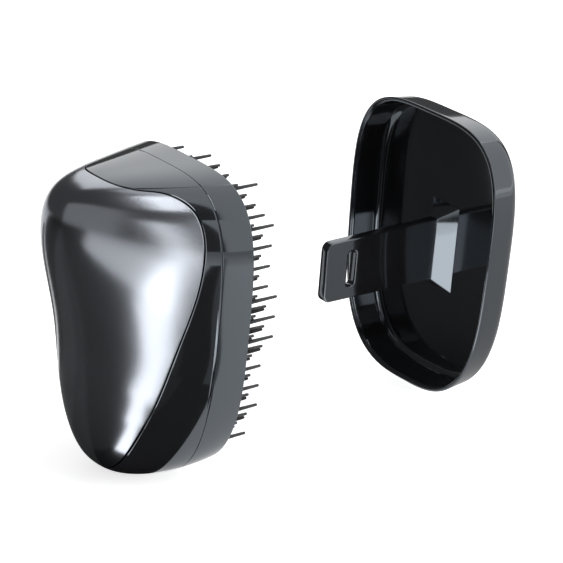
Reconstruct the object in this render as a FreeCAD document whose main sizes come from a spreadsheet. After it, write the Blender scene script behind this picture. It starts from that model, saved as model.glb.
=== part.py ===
# A compact hair grooming brush with its clip-on cover pulled straight off the bristle face.
# X points the way the bristles point, Y across the brush, Z from the narrow tail to the wide head.
import FreeCAD, Part
import math
import os

from FreeCAD import Placement, Vector
import Sketcher

os.makedirs("parts", exist_ok=True)
doc = FreeCAD.newDocument("grooming_brush")
sheet = doc.addObject("Spreadsheet::Sheet", "sizes")

# Driving sizes in millimetres: alias, value, meaning
DIMENSIONS = [
    ("rim_length", 90.0, "rim, tail to head"),
    ("rim_width", 64.8, "rim, across"),
    ("body_depth", 43.4, "rim to back at mid length, before the waist"),
    ("back_slope", 9.3, "extra depth at the head, lost at the tail"),
    ("back_waist", 3.1, "hollow in the back where the fingers lie"),
    ("tail_bulge", 3.5, "how far the tail swells past its rim"),
    ("head_tuck", 0.4, "how far the head draws in behind its rim"),
    ("seam_depth", 9.0, "rim to the parting line of the two shells"),
    ("back_wall", 1.0, "metallic back, thickness"),
    ("bed_wall", 0.8, "upper shell under the metallic back"),
    ("seat_gap", 0.05, "gap under a piece that sits on another"),
    ("bond_gap", 0.15, "bond line under the metallic back"),
    ("trim_gap", 0.3, "gap round the edge of the metallic back"),
    ("rim_wall", 1.4, "lower shell at its rim"),
    ("ledge_width", 4.6, "lower shell's inner ledge, in from its skin"),
    ("ledge_thick", 1.6, "lower shell's inner ledge, thickness"),
    ("fit_gap", 0.1, "round the pad and its carrier"),
    ("pad_recess", 1.2, "pad face below the rim"),
    ("pad_thick", 2.2, "bristle pad"),
    ("carrier_thick", 1.8, "stiff plate behind the pad"),
    ("bristle_reach", 11.2, "long bristle tips past the rim"),
    ("bristle_reach_short", 7.0, "short bristle tips past the rim"),
    ("bristle_root", 1.24, "bristle diameter at the pad"),
    ("bristle_tip", 0.84, "bristle diameter at its tip"),
    ("bristle_margin", 1.0, "pad edge to the bristle beside it"),
    ("bristle_pitch", 3.1, "along a row"),
    ("row_pitch", 4.28, "from row to row"),
    ("screw_shank", 2.2, "shell screw, shank diameter"),
    ("screw_head", 4.2, "shell screw, head diameter"),
    ("screw_head_thick", 1.0, "shell screw, head height"),
    ("screw_length", 12.0, "shell screw, under its head"),
    ("screw_spread_y", 38.0, "between screws, across"),
    ("screw_spread_z", 50.0, "between screws, tail to head"),
    ("boss_width", 6.0, "screw boss of the upper shell"),
    ("bore_gap", 0.1, "screw in its bore, on the radius"),
    ("tongue_thick", 3.0, "cover tongue"),
    ("tongue_root_width", 20.4, "cover tongue at its root"),
    ("tongue_tip_width", 19.2, "cover tongue at its tip"),
    ("tongue_corner", 2.6, "rounding of the tongue's tip"),
    ("tongue_room", 6.1, "depth of the body that the tongue leaves free"),
    ("tongue_drop", 1.2, "tongue's middle, below mid length"),
    ("window_length", 11.4, "catch window in the tongue, across the tongue"),
    ("window_width", 3.2, "catch window in the tongue, along the tongue"),
    ("window_inset", 8.6, "catch window to the tongue's tip"),
    ("window_corner", 1.2, "rounding of the catch window"),
    ("flare_depth", 6.4, "cover rim down to the tongue's flared foot"),
    ("flare_width", 12.4, "flared foot on the cover's floor, across"),
    ("flare_length", 28.6, "flared foot on the cover's floor, tail to head"),
    ("slot_gap", 0.6, "round the tongue in its slot and socket"),
    ("socket_wall", 1.4, "tongue socket"),
    ("socket_flange", 4.0, "tongue socket's flange past its tube"),
    ("socket_room", 11.0, "back of the body to the end of the tongue socket"),
    ("leaf_thick", 0.8, "catch leaf"),
    ("leaf_width", 8.0, "catch leaf"),
    ("nose_reach", 1.0, "catch nose into the tongue's window"),
    ("nose_gap", 0.5, "catch nose in its windows"),
    ("rivet_shank", 1.6, "catch rivet"),
    ("rivet_head", 2.8, "catch rivet's head"),
    ("rivet_head_thick", 0.6, "catch rivet's head height"),
    ("rivet_pitch", 4.6, "between the two rivets"),
    ("cover_depth", 12.3, "cover, rim to base"),
    ("cover_floor", 1.1, "cover floor's thickness"),
    ("cover_wall", 1.25, "cover wall at its rim"),
    ("cover_draft", 0.7, "how far the cover's wall leans in"),
    ("cover_round", 5.0, "rounding of the cover's base edge"),
    ("floor_round", 2.4, "rounding of the cover's inner edge"),
    ("shut_gap", 0.6, "fine line left between the rims when shut"),
    ("cover_gap", 90.6, "rim to rim with the cover pulled off"),
    ("overrun", 1.0, "how far a cutting shape passes what it cuts"),
]
for row, (alias, value, meaning) in enumerate(DIMENSIONS, start=1):
    sheet.set(f"A{row}", meaning)
    sheet.set(f"B{row}", str(value))
    sheet.setAlias(f"B{row}", alias)
doc.recompute()


def size(alias):
    """One driving size, read from the sheet."""
    return float(getattr(sheet, alias))


# Shapes of the forms, which hold at any size
RING_POINTS = 40
HEAD_POWER = 3.7
TAIL_POWER = 2.95
CROWN_POWER = 2.0
RIM_TAPER_SHARE = 0.04
WAIST_PLACE_SHARE = 0.03
WAIST_SPREAD_SHARE = 0.48
SIDE_POWER = 1.15
END_POWER = 4.6
LEVEL_SHARES = [1.0, 0.92, 0.83, 0.73, 0.62, 0.51, 0.40, 0.30, 0.20, 0.11, 0.05]
ROUND_STEPS = 4
# Edge of the metallic back from the side, tail to head: shares of the depth and the half length
BACK_EDGE_SHARES = [
    (-0.615, -1.20), (-0.605, -1.0), (-0.578, -0.70), (-0.519, -0.40), (-0.446, -0.06),
    (-0.370, 0.27), (-0.318, 0.60), (-0.315, 0.76), (-0.345, 0.865), (-0.42, 0.925),
    (-0.60, 0.955), (-0.85, 1.02), (-1.05, 1.10),
]


def signed_power(value, power):
    return math.copysign(abs(value) ** power, value)


def corner_power(z, level_share=1.0):
    """How square a ring's corners are: more at the head than the tail, and an oval at the crown."""
    squarest = HEAD_POWER if z > 0.0 else TAIL_POWER
    return CROWN_POWER + (squarest - CROWN_POWER) * level_share


def rim_points(half_width, half_length, level_share=1.0):
    """Egg-shaped ring: a superellipse that widens towards the head."""
    points = []
    for step in range(RING_POINTS):
        angle = 2.0 * math.pi * step / RING_POINTS
        power = corner_power(math.cos(angle), level_share)
        z_share = signed_power(math.cos(angle), 2.0 / power)
        y_share = signed_power(math.sin(angle), 2.0 / power)
        y = half_width * (1.0 + RIM_TAPER_SHARE * z_share) * y_share
        points.append((y, half_length * z_share))
    return points


def rim_half_width(z, inset):
    """Half width of the egg-shaped ring at a height, drawn in by an inset."""
    half_width = size("rim_width") / 2.0 - inset
    z_share = z / (size("rim_length") / 2.0 - inset)
    if abs(z_share) >= 1.0:
        return -1.0
    power = corner_power(z)
    side = (1.0 - abs(z_share) ** power) ** (1.0 / power)
    return half_width * (1.0 + RIM_TAPER_SHARE * z_share) * side


def ring_parameters():
    """Spacing of a ring's points by chord, the same for every ring so that they loft evenly."""
    points = rim_points(size("rim_width") / 2.0, size("rim_length") / 2.0)
    lengths = [0.0]
    for here, there in zip(points, points[1:] + points[:1]):
        lengths.append(lengths[-1] + math.dist(here, there))
    return [length / lengths[-1] for length in lengths]


RING_PARAMETERS = ring_parameters()


def ring_wire(points):
    curve = Part.BSplineCurve()
    curve.interpolate(Points=points, Parameters=RING_PARAMETERS, PeriodicFlag=True)
    return Part.Wire(curve.toShape())


def flat_ring(x, inset):
    half_width = size("rim_width") / 2.0 - inset
    half_length = size("rim_length") / 2.0 - inset
    return ring_wire([Vector(x, y, z) for y, z in rim_points(half_width, half_length)])


def body_depth_at(z_share, inset):
    """Depth of the body along its middle: it slopes to the head and has a shallow waist."""
    waist = math.exp(-((z_share - WAIST_PLACE_SHARE) / WAIST_SPREAD_SHARE) ** 2)
    return size("body_depth") - inset + size("back_slope") * z_share - size("back_waist") * waist


def body_ring(level_share, inset):
    """One ring of the brush body: it narrows fast across and late along, to an oval crown."""
    half_width = size("rim_width") / 2.0 - inset
    half_length = size("rim_length") / 2.0 - inset
    down = 1.0 - level_share ** 2
    across = math.sqrt(1.0 - down ** SIDE_POWER)
    along = 1.0 - (1.0 - level_share) ** END_POWER
    swell = 4.0 * down * (1.0 - down)
    top = half_length * along - size("head_tuck") * swell
    bottom = -half_length * along - size("tail_bulge") * swell
    points = []
    for y, z in rim_points(half_width, half_length, level_share):
        z_here = (top + bottom) / 2.0 + (top - bottom) / 2.0 * z / half_length
        x_here = -down * body_depth_at(z_here / half_length, inset)
        points.append(Vector(x_here, y * across, z_here))
    return ring_wire(points)


def feature(name, shape):
    made = doc.addObject("Part::Feature", name)
    made.Shape = shape
    return made


def body_form(name, inset):
    """The solid form of the brush body, drawn in by an inset."""
    crown = Part.Vertex(-body_depth_at(0.0, inset), 0.0, 0.0)
    rings = [body_ring(level, inset) for level in LEVEL_SHARES]
    return feature(name, Part.makeLoft(rings + [crown], True, False))


def cut(name, base, tool):
    made = doc.addObject("Part::Cut", name)
    made.Base = base
    made.Tool = tool
    return made


def common(name, base, tool):
    made = doc.addObject("Part::Common", name)
    made.Base = base
    made.Tool = tool
    return made


def fuse(name, pieces):
    made = doc.addObject("Part::MultiFuse", name)
    made.Shapes = pieces
    return made


def box(name, expressions):
    """A box whose sizes and corner follow the sheet."""
    made = doc.addObject("Part::Box", name)
    for target, expression in expressions.items():
        made.setExpression(target, expression)
    return made


def rod(name, expressions):
    """A cylinder along X whose sizes and place follow the sheet."""
    made = doc.addObject("Part::Cylinder", name)
    made.Placement = Placement(Vector(), FreeCAD.Rotation(Vector(0, 1, 0), 90))
    for target, expression in expressions.items():
        made.setExpression(target, expression)
    return made


def origin_plane(body, role):
    return next(plane for plane in body.Origin.OriginFeatures if plane.Role == role)


def sketch_on(body, name, role):
    made = body.newObject("Sketcher::SketchObject", name)
    made.AttachmentSupport = [(origin_plane(body, role), "")]
    made.MapMode = "FlatFace"
    return made


def sketch_polygon(sketch, corners):
    """A closed polygon whose corners are pairs of expressions."""
    count = len(corners)
    for corner in range(count):
        start = Vector(corner, corner % 2, 0)
        end = Vector((corner + 1) % count, (corner + 1) % 2 + count, 0)
        sketch.addGeometry(Part.LineSegment(start, end))
    for corner in range(count):
        sketch.addConstraint(Sketcher.Constraint("Coincident", corner, 2, (corner + 1) % count, 1))
    for corner, (across, up) in enumerate(corners):
        for kind, expression in (("DistanceX", across), ("DistanceY", up)):
            index = sketch.addConstraint(Sketcher.Constraint(kind, -1, 1, corner, 1, 1.0))
            sketch.setExpression(f"Constraints[{index}]", expression)


def rectangle(across, up, middle_across="0", middle_up="0"):
    """Corners of a rectangle, as expressions of its sizes and its middle."""
    return [
        (f"{middle_across} - ({across}) / 2", f"{middle_up} - ({up}) / 2"),
        (f"{middle_across} + ({across}) / 2", f"{middle_up} - ({up}) / 2"),
        (f"{middle_across} + ({across}) / 2", f"{middle_up} + ({up}) / 2"),
        (f"{middle_across} - ({across}) / 2", f"{middle_up} + ({up}) / 2"),
    ]


def pad_sketch(body, name, sketch, expression, midplane=False, reversed_way=False):
    made = body.newObject("PartDesign::Pad", name)
    made.Profile = sketch
    made.Midplane = midplane
    made.Reversed = reversed_way
    made.setExpression("Length", expression)
    return made


def pocket_sketch(body, name, sketch, expression, midplane=False, reversed_way=False):
    made = body.newObject("PartDesign::Pocket", name)
    made.Profile = sketch
    made.Midplane = midplane
    made.Reversed = reversed_way
    made.setExpression("Length", expression)
    return made


# Depths behind the rim of the stack inside the lower shell, as expressions of the sheet
PAD_BACK = "(sizes.pad_recess + sizes.pad_thick)"
CARRIER_BACK = f"({PAD_BACK} + sizes.carrier_thick)"
LEDGE_BACK = f"({CARRIER_BACK} + sizes.ledge_thick)"
FAR_BACK = "(sizes.body_depth + sizes.back_slope + sizes.overrun)"
FULL_WIDTH = "(sizes.rim_width + 2 * sizes.overrun)"
FULL_LENGTH = "(sizes.rim_length + 2 * (sizes.tail_bulge + sizes.overrun))"
TONGUE_MIDDLE = "(-sizes.tongue_drop)"
TONGUE_REACH = "(sizes.body_depth - sizes.tongue_room)"
CHANNEL_WIDTH = "(sizes.tongue_thick + 2 * sizes.slot_gap)"
CHANNEL_LENGTH = "(sizes.tongue_root_width + 2 * sizes.slot_gap)"
SOCKET_FACE = f"({CHANNEL_WIDTH} / 2 + sizes.socket_wall)"
SOCKET_DEPTH = f"(sizes.body_depth - sizes.socket_room - {CARRIER_BACK})"
CATCH_PLACE = f"(sizes.shut_gap - {TONGUE_REACH} + sizes.window_inset + sizes.window_width / 2)"
NOSE_WIDTH = "(sizes.window_width - 2 * sizes.nose_gap)"
COVER_FLOOR = "(sizes.cover_gap + sizes.cover_depth - sizes.cover_floor)"


def slab(name, back, front):
    """A box across the whole brush between two depths behind the rim."""
    return box(name, {
        "Length": f"{back} - {front}",
        "Width": FULL_WIDTH,
        "Height": FULL_LENGTH,
        "Placement.Base.x": f"-{back}",
        "Placement.Base.y": f"-{FULL_WIDTH} / 2",
        "Placement.Base.z": f"-{FULL_LENGTH} / 2",
    })


def tongue_slot(name, back, front):
    """The opening that the cover's tongue passes through, between two depths."""
    return box(name, {
        "Length": f"{back} - {front} + 2 * sizes.overrun",
        "Width": CHANNEL_WIDTH,
        "Height": CHANNEL_LENGTH,
        "Placement.Base.x": f"-{back} - sizes.overrun",
        "Placement.Base.y": f"-{CHANNEL_WIDTH} / 2",
        "Placement.Base.z": f"{TONGUE_MIDDLE} - {CHANNEL_LENGTH} / 2",
    })


def back_region(name, extra):
    """All that lies behind the S-shaped edge of the metallic back, moved out by an extra."""
    half_length = size("rim_length") / 2.0
    side = -size("rim_width") / 2.0 - size("overrun")
    far = -2.0 * size("body_depth")
    edge = [Vector(x * size("body_depth") + extra, side, z * half_length + extra)
            for x, z in BACK_EDGE_SHARES]
    curve = Part.BSplineCurve()
    curve.interpolate(Points=edge)
    corners = [edge[-1], Vector(far, side, edge[-1].z), Vector(far, side, edge[0].z), edge[0]]
    outline = Part.Wire([curve.toShape(), *Part.makePolygon(corners).Edges])
    return feature(name, Part.Face(outline).extrude(Vector(0.0, -2.0 * side, 0.0)))


def screw_places():
    """The four screws' places across the brush, as expressions."""
    places = []
    for across in ("-", "+"):
        for up in ("-", "+"):
            places.append((f"{across} sizes.screw_spread_y / 2", f"{up} sizes.screw_spread_z / 2"))
    return places


def screw_rods(name, radius, start, length):
    rods = []
    for number, (across, up) in enumerate(screw_places(), start=1):
        rods.append(rod(f"{name}_{number}", {
            "Radius": radius,
            "Height": length,
            "Placement.Base.x": start,
            "Placement.Base.y": across,
            "Placement.Base.z": up,
        }))
    return rods


# Forms that the shells share
bed_inset = size("back_wall") + size("bond_gap")
outer_form = body_form("outer_form", 0.0)
back_form = body_form("back_form", size("back_wall"))
bed_form = body_form("bed_form", bed_inset)
boss_form = body_form("boss_form", bed_inset + size("bed_wall") / 2.0)
cavity_form = body_form("cavity_form", bed_inset + size("bed_wall"))
rim_form = body_form("rim_form", size("rim_wall"))
pad_form = body_form("pad_form", size("rim_wall") + size("fit_gap"))
back_block = back_region("back_block", 0.0)
recess_block = back_region("recess_block", size("trim_gap"))

# Metallic back: a thin skin bonded into a recess of the upper shell
back_cover = common("back_cover", cut("back_layer", outer_form, back_form), back_block)

# Upper shell: wall, bed for the metallic back and four screw bosses
upper_slab = slab("upper_slab", FAR_BACK, "sizes.seam_depth")
upper_wall = common("upper_wall", cut("upper_layer", outer_form, cavity_form), upper_slab)
back_recess = cut("back_recess", recess_block, bed_form)
boss_length = f"{FAR_BACK} - {CARRIER_BACK}"
boss_rods = screw_rods("boss_rod", "sizes.boss_width / 2", f"-{FAR_BACK}", boss_length)
bosses = common("bosses", fuse("boss_group", boss_rods), boss_form)
upper_blank = fuse("upper_blank", [cut("upper_bed", upper_wall, back_recess), bosses])
bore_depth = f"({PAD_BACK} + sizes.screw_head_thick + sizes.screw_length + sizes.overrun)"
bore_radius = "sizes.screw_shank / 2 + sizes.bore_gap"
bores = screw_rods("screw_bore", bore_radius, f"-{bore_depth}", f"{bore_depth} - {PAD_BACK}")
upper_shell = cut("upper_shell", upper_blank, fuse("upper_bores", bores))

# Lower shell: rim wall with an inner ledge that the carrier rests on
lower_slab = slab("lower_slab", "sizes.seam_depth", "0")
lower_wall = common("lower_wall", cut("lower_layer", outer_form, rim_form), lower_slab)
ledge_outer = body_form("ledge_outer_form", size("rim_wall") / 2.0)
ledge_inner = body_form("ledge_inner_form", size("ledge_width"))
ledge_ring = cut("ledge_ring", ledge_outer, ledge_inner)
ledge = common("ledge", ledge_ring, slab("ledge_slab", LEDGE_BACK, CARRIER_BACK))
lower_shell = fuse("lower_shell", [lower_wall, ledge])

# Bristle pad, with the slot for the tongue
pad_plate = common("pad_plate", pad_form, slab("pad_slab", PAD_BACK, "sizes.pad_recess"))
bristle_pad = cut("bristle_pad", pad_plate, tongue_slot("pad_slot", PAD_BACK, "sizes.pad_recess"))

# Carrier plate behind the pad, with the slot and the sunk screw holes
carrier_plate = common("carrier_plate", pad_form, slab("carrier_slab", CARRIER_BACK, PAD_BACK))
head_sink = f"({PAD_BACK} + sizes.screw_head_thick)"
sink_radius = "sizes.screw_head / 2 + sizes.bore_gap"
sinks = screw_rods("head_sink", sink_radius, f"-{head_sink}", "sizes.screw_head_thick + sizes.overrun")
clear_length = "sizes.carrier_thick + 2 * sizes.overrun"
clears = screw_rods("screw_clear", bore_radius, f"-{CARRIER_BACK} - sizes.overrun", clear_length)
carrier_slot = tongue_slot("carrier_slot", CARRIER_BACK, PAD_BACK)
carrier_holes = fuse("carrier_holes", sinks + clears + [carrier_slot])
pad_carrier = cut("pad_carrier", carrier_plate, carrier_holes)

# Four screws that clamp the lower shell between the carrier and the upper shell
heads = screw_rods("screw_head", "sizes.screw_head / 2", f"-{head_sink}", "sizes.screw_head_thick")
shank_start = f"-{head_sink} - sizes.screw_length"
shanks = screw_rods("screw_shank", "sizes.screw_shank / 2", shank_start, "sizes.screw_length")
screws = []
for number, (head, shank) in enumerate(zip(heads, shanks), start=1):
    screws.append(fuse(f"screw_{number}", [head, shank]))
shell_screws = doc.addObject("Part::Compound", "shell_screws")
shell_screws.Links = screws


def bristle(reach):
    """One bristle on the pad at the origin of Y and Z: a slim cone with a round tip."""
    root = size("bristle_root") / 2.0
    tip = size("bristle_tip") / 2.0
    foot = -size("pad_recess")
    shoulder = reach - tip
    side = Part.LineSegment(Vector(foot, root, 0.0), Vector(shoulder, tip, 0.0))
    bend = Vector(shoulder + tip * math.sqrt(0.5), tip * math.sqrt(0.5), 0.0)
    cap = Part.Arc(Vector(shoulder, tip, 0.0), bend, Vector(reach, 0.0, 0.0))
    axis = Part.LineSegment(Vector(reach, 0.0, 0.0), Vector(foot, 0.0, 0.0))
    base = Part.LineSegment(Vector(foot, 0.0, 0.0), Vector(foot, root, 0.0))
    outline = Part.Wire([piece.toShape() for piece in (side, cap, axis, base)])
    return Part.Face(outline).revolve(Vector(), Vector(1.0, 0.0, 0.0), 360.0)


def clear_of(y, z, half_width, half_length):
    """Whether a bristle stands outside a rectangle round the tongue."""
    room = size("bristle_root") / 2.0 + size("slot_gap")
    beside = abs(y) > half_width + room
    return beside or abs(z + size("tongue_drop")) > half_length + room


def bristle_places():
    """Rows that fan with the rim, long and short in turn, left out round the tongue."""
    inset = size("rim_wall") + size("fit_gap") + size("bristle_margin") + size("bristle_root") / 2.0
    edge = size("rim_width") / 2.0 - inset
    gaps = round(2.0 * edge / size("row_pitch"))
    steps = round(size("rim_length") / size("bristle_pitch"))
    slot = (size("tongue_thick") / 2.0 + size("slot_gap"), size("tongue_root_width") / 2.0 + size("slot_gap"))
    foot = (size("flare_width") / 2.0, size("flare_length") / 2.0)
    long_places, short_places = [], []
    for row in range(gaps + 1):
        for step in range(steps + 1):
            z = (step - steps / 2.0 + (row % 2) / 2.0) * size("bristle_pitch")
            taper = 1.0 + RIM_TAPER_SHARE * z / (size("rim_length") / 2.0)
            y = edge * (2.0 * row / gaps - 1.0) * taper
            if abs(y) > rim_half_width(z, inset) + size("seat_gap"):
                continue
            is_long = (step + row // 2) % 2 == 0
            if is_long and clear_of(y, z, *foot):
                long_places.append((y, z))
            elif not is_long and clear_of(y, z, *slot):
                short_places.append((y, z))
    return long_places, short_places


def bristle_group(name, places, reach):
    one = bristle(reach)
    return feature(name, Part.makeCompound([one.translated(Vector(0.0, y, z)) for y, z in places]))


long_places, short_places = bristle_places()
long_bristles = bristle_group("long_bristles", long_places, size("bristle_reach"))
short_bristles = bristle_group("short_bristles", short_places, size("bristle_reach_short"))


def cover_form(name, wall, depth, rounding):
    """The cover's outer or inner form: a wall that leans in, then a rounded edge."""
    straight = depth - rounding
    levels = [(straight * step / ROUND_STEPS, size("cover_draft") * step / ROUND_STEPS)
              for step in range(ROUND_STEPS + 1)]
    for step in range(1, ROUND_STEPS + 1):
        angle = math.pi / 2.0 * step / ROUND_STEPS
        lean = size("cover_draft") + rounding * (1.0 - math.cos(angle))
        levels.append((straight + rounding * math.sin(angle), lean))
    rings = [flat_ring(size("cover_gap") + x, wall + lean) for x, lean in levels]
    return feature(name, Part.makeLoft(rings, True, False))


# Cover shell: a shallow tray with a flat base
cover_outer = cover_form("cover_outer", 0.0, size("cover_depth"), size("cover_round"))
inner_depth = size("cover_depth") - size("cover_floor")
cover_inner = cover_form("cover_inner", size("cover_wall"), inner_depth, size("floor_round"))
cover_shell = cut("cover_shell", cover_outer, cover_inner)


def edges_at(shape, direction, places):
    """Names of the straight edges along a direction that pass through one of some X places."""
    names = []
    for number, edge in enumerate(shape.Edges, start=1):
        if len(edge.Vertexes) != 2 or not isinstance(edge.Curve, Part.Line):
            continue
        aligned = abs(edge.Curve.Direction.dot(direction)) > 1.0 - Part.Precision.confusion()
        if aligned and any(abs(edge.CenterOfMass.x - place) < size("seat_gap") for place in places):
            names.append(f"Edge{number}")
    return names


def fillet_edges(body, name, base, names, expression):
    made = body.newObject("PartDesign::Fillet", name)
    made.Base = (base, names)
    made.setExpression("Radius", expression)
    return made


# Cover tongue: a tapered blade with a catch window, on a flared foot
cover_tongue = doc.addObject("PartDesign::Body", "cover_tongue")
tip_place = f"(sizes.cover_gap - {TONGUE_REACH})"
root_place = "(sizes.cover_gap + sizes.flare_depth)"
blade_sketch = sketch_on(cover_tongue, "blade_sketch", "XZ_Plane")
half_tip = "sizes.tongue_tip_width / 2"
half_root = "sizes.tongue_root_width / 2"
sketch_polygon(blade_sketch, [
    (tip_place, f"{TONGUE_MIDDLE} - {half_tip}"),
    (root_place, f"{TONGUE_MIDDLE} - {half_root}"),
    (COVER_FLOOR, f"{TONGUE_MIDDLE} - {half_root}"),
    (COVER_FLOOR, f"{TONGUE_MIDDLE} + {half_root}"),
    (root_place, f"{TONGUE_MIDDLE} + {half_root}"),
    (tip_place, f"{TONGUE_MIDDLE} + {half_tip}"),
])
blade = pad_sketch(cover_tongue, "blade", blade_sketch, "sizes.tongue_thick", midplane=True)
doc.recompute()
tip_x = size("cover_gap") - size("body_depth") + size("tongue_room")
tip_edges = edges_at(blade.Shape, Vector(0, 1, 0), [tip_x])
rounded_tip = fillet_edges(cover_tongue, "rounded_tip", blade, tip_edges, "sizes.tongue_corner")
window_sketch = sketch_on(cover_tongue, "window_sketch", "XZ_Plane")
window_middle = f"{tip_place} + sizes.window_inset + sizes.window_width / 2"
window_corners = rectangle("sizes.window_width", "sizes.window_length", window_middle, TONGUE_MIDDLE)
sketch_polygon(window_sketch, window_corners)
through = "sizes.tongue_thick + 2 * sizes.overrun"
window = pocket_sketch(cover_tongue, "window", window_sketch, through, midplane=True)
doc.recompute()
window_near = tip_x + size("window_inset")
window_sides = [window_near, window_near + size("window_width")]
window_edges = edges_at(window.Shape, Vector(0, 1, 0), window_sides)
fillet_edges(cover_tongue, "rounded_window", window, window_edges, "sizes.window_corner")
flare_sketches = []
for name, place, across, up in (
    ("flare_top", root_place, "sizes.tongue_thick", "sizes.tongue_root_width"),
    ("flare_foot", COVER_FLOOR, "sizes.flare_width", "sizes.flare_length"),
):
    section = sketch_on(cover_tongue, name, "YZ_Plane")
    section.setExpression("AttachmentOffset.Base.z", place)
    sketch_polygon(section, rectangle(across, up, "0", TONGUE_MIDDLE))
    flare_sketches.append(section)
flare = cover_tongue.newObject("PartDesign::AdditiveLoft", "flare")
flare.Profile = flare_sketches[0]
flare.Sections = [flare_sketches[1]]

# Tongue socket: a flanged sleeve behind the carrier, with a window for the catch
tongue_socket = doc.addObject("PartDesign::Body", "tongue_socket")


def socket_section(name, extra):
    section = sketch_on(tongue_socket, name, "YZ_Plane")
    section.setExpression("AttachmentOffset.Base.z", f"-{CARRIER_BACK}")
    across = f"{CHANNEL_WIDTH} + 2 * ({extra})"
    up = f"{CHANNEL_LENGTH} + 2 * ({extra})"
    sketch_polygon(section, rectangle(across, up, "0", TONGUE_MIDDLE))
    return section


tube_section = socket_section("tube_section", "sizes.socket_wall")
pad_sketch(tongue_socket, "tube", tube_section, SOCKET_DEPTH, reversed_way=True)
flange_section = socket_section("flange_section", "sizes.socket_wall + sizes.socket_flange")
pad_sketch(tongue_socket, "flange", flange_section, "sizes.ledge_thick", reversed_way=True)
channel_section = socket_section("channel_section", "0")
channel_reach = f"{SOCKET_DEPTH} + sizes.overrun"
pocket_sketch(tongue_socket, "channel", channel_section, channel_reach)
rivet_places = [
    f"-{LEDGE_BACK} - sizes.rivet_pitch / 2 - {number} * sizes.rivet_pitch" for number in (0, 1)
]


def rivet_holes(body, name, far_side):
    """Two round holes for the rivets, cut from the middle plane towards +Y."""
    holes = sketch_on(body, f"{name}_sketch", "XZ_Plane")
    for number, place in enumerate(rivet_places):
        holes.addGeometry(Part.Circle(Vector(number, number, 0), Vector(0, 0, 1), 1.0))
        for kind, expression in (("DistanceX", place), ("DistanceY", TONGUE_MIDDLE)):
            index = holes.addConstraint(Sketcher.Constraint(kind, -1, 1, number, 3, 1.0))
            holes.setExpression(f"Constraints[{index}]", expression)
        index = holes.addConstraint(Sketcher.Constraint("Radius", number, 1.0))
        holes.setExpression(f"Constraints[{index}]", "sizes.rivet_shank / 2 + sizes.seat_gap")
    return pocket_sketch(body, name, holes, far_side)


catch_sketch = sketch_on(tongue_socket, "catch_sketch", "XZ_Plane")
catch_across = f"{NOSE_WIDTH} + 2 * sizes.nose_gap"
catch_up = "sizes.leaf_width + 2 * sizes.nose_gap"
sketch_polygon(catch_sketch, rectangle(catch_across, catch_up, CATCH_PLACE, TONGUE_MIDDLE))
pocket_sketch(tongue_socket, "catch_window", catch_sketch, f"{SOCKET_FACE} + sizes.overrun")
rivet_holes(tongue_socket, "socket_rivet_holes", f"{SOCKET_FACE} + sizes.overrun")

# Catch leaf: a spring strip on the socket whose nose snaps into the tongue's window
catch_leaf = doc.addObject("PartDesign::Body", "catch_leaf")
leaf_sketch = sketch_on(catch_leaf, "leaf_sketch", "XY_Plane")
leaf_sketch.setExpression("AttachmentOffset.Base.z", TONGUE_MIDDLE)
leaf_outer = f"{SOCKET_FACE} + sizes.leaf_thick"
nose_tip = "sizes.tongue_thick / 2 - sizes.nose_reach"
nose_back = f"{CATCH_PLACE} - {NOSE_WIDTH} / 2"
sketch_polygon(leaf_sketch, [
    (f"-{LEDGE_BACK}", SOCKET_FACE),
    (f"-{LEDGE_BACK}", leaf_outer),
    (nose_back, leaf_outer),
    (nose_back, nose_tip),
    (f"{nose_back} + sizes.leaf_thick", nose_tip),
    (f"{nose_back} + {NOSE_WIDTH}", SOCKET_FACE),
])
pad_sketch(catch_leaf, "leaf", leaf_sketch, "sizes.leaf_width", midplane=True)
rivet_holes(catch_leaf, "leaf_rivet_holes", f"{leaf_outer} + sizes.overrun")

# Two rivets that hold the leaf to the socket
rivets = []
for number, place in enumerate(rivet_places, start=1):
    pieces = []
    for name, radius, start, length in (
        ("shank", "sizes.rivet_shank / 2", f"{CHANNEL_WIDTH} / 2", "sizes.socket_wall + sizes.leaf_thick"),
        ("head", "sizes.rivet_head / 2", leaf_outer, "sizes.rivet_head_thick"),
    ):
        made = doc.addObject("Part::Cylinder", f"rivet_{name}_{number}")
        made.Placement = Placement(Vector(), FreeCAD.Rotation(Vector(1, 0, 0), -90))
        made.setExpression("Radius", radius)
        made.setExpression("Height", length)
        made.setExpression("Placement.Base.x", place)
        made.setExpression("Placement.Base.y", start)
        made.setExpression("Placement.Base.z", TONGUE_MIDDLE)
        pieces.append(made)
    rivets.append(fuse(f"rivet_{number}", pieces))
catch_rivets = doc.addObject("Part::Compound", "catch_rivets")
catch_rivets.Links = rivets
doc.recompute()

NODES = [
    back_cover, upper_shell, lower_shell, bristle_pad, long_bristles, short_bristles, pad_carrier,
    shell_screws, tongue_socket, catch_leaf, catch_rivets, cover_shell, cover_tongue,
]

# Stand the whole on the tail, with the origin under its middle
whole = Part.makeCompound([node.Shape for node in NODES]).optimalBoundingBox(False)
stand = Placement(Vector(-whole.Center.x, -whole.Center.y, -whole.ZMin), FreeCAD.Rotation())
for node in NODES:
    node.Placement = stand.multiply(node.Placement)
doc.recompute()

for made in doc.Objects:
    if "Invalid" in made.State or "Error" in made.State:
        raise RuntimeError(f"{made.Name} failed: {made.State}")
for node in NODES:
    if node.Shape.isNull() or not node.Shape.isValid():
        raise RuntimeError(f"{node.Label} has no valid shape")
for node in NODES:
    node.Shape.exportStep(f"parts/{node.Label}.step")
    bounds = node.Shape.optimalBoundingBox(False)
    solids = len(node.Shape.Solids)
    low = [round(value, 2) for value in (bounds.XMin, bounds.YMin, bounds.ZMin)]
    high = [round(value, 2) for value in (bounds.XMax, bounds.YMax, bounds.ZMax)]
    print(f"{node.Label}: {solids} solids, {node.Shape.Volume:.1f} mm3, {low} to {high}")
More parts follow.
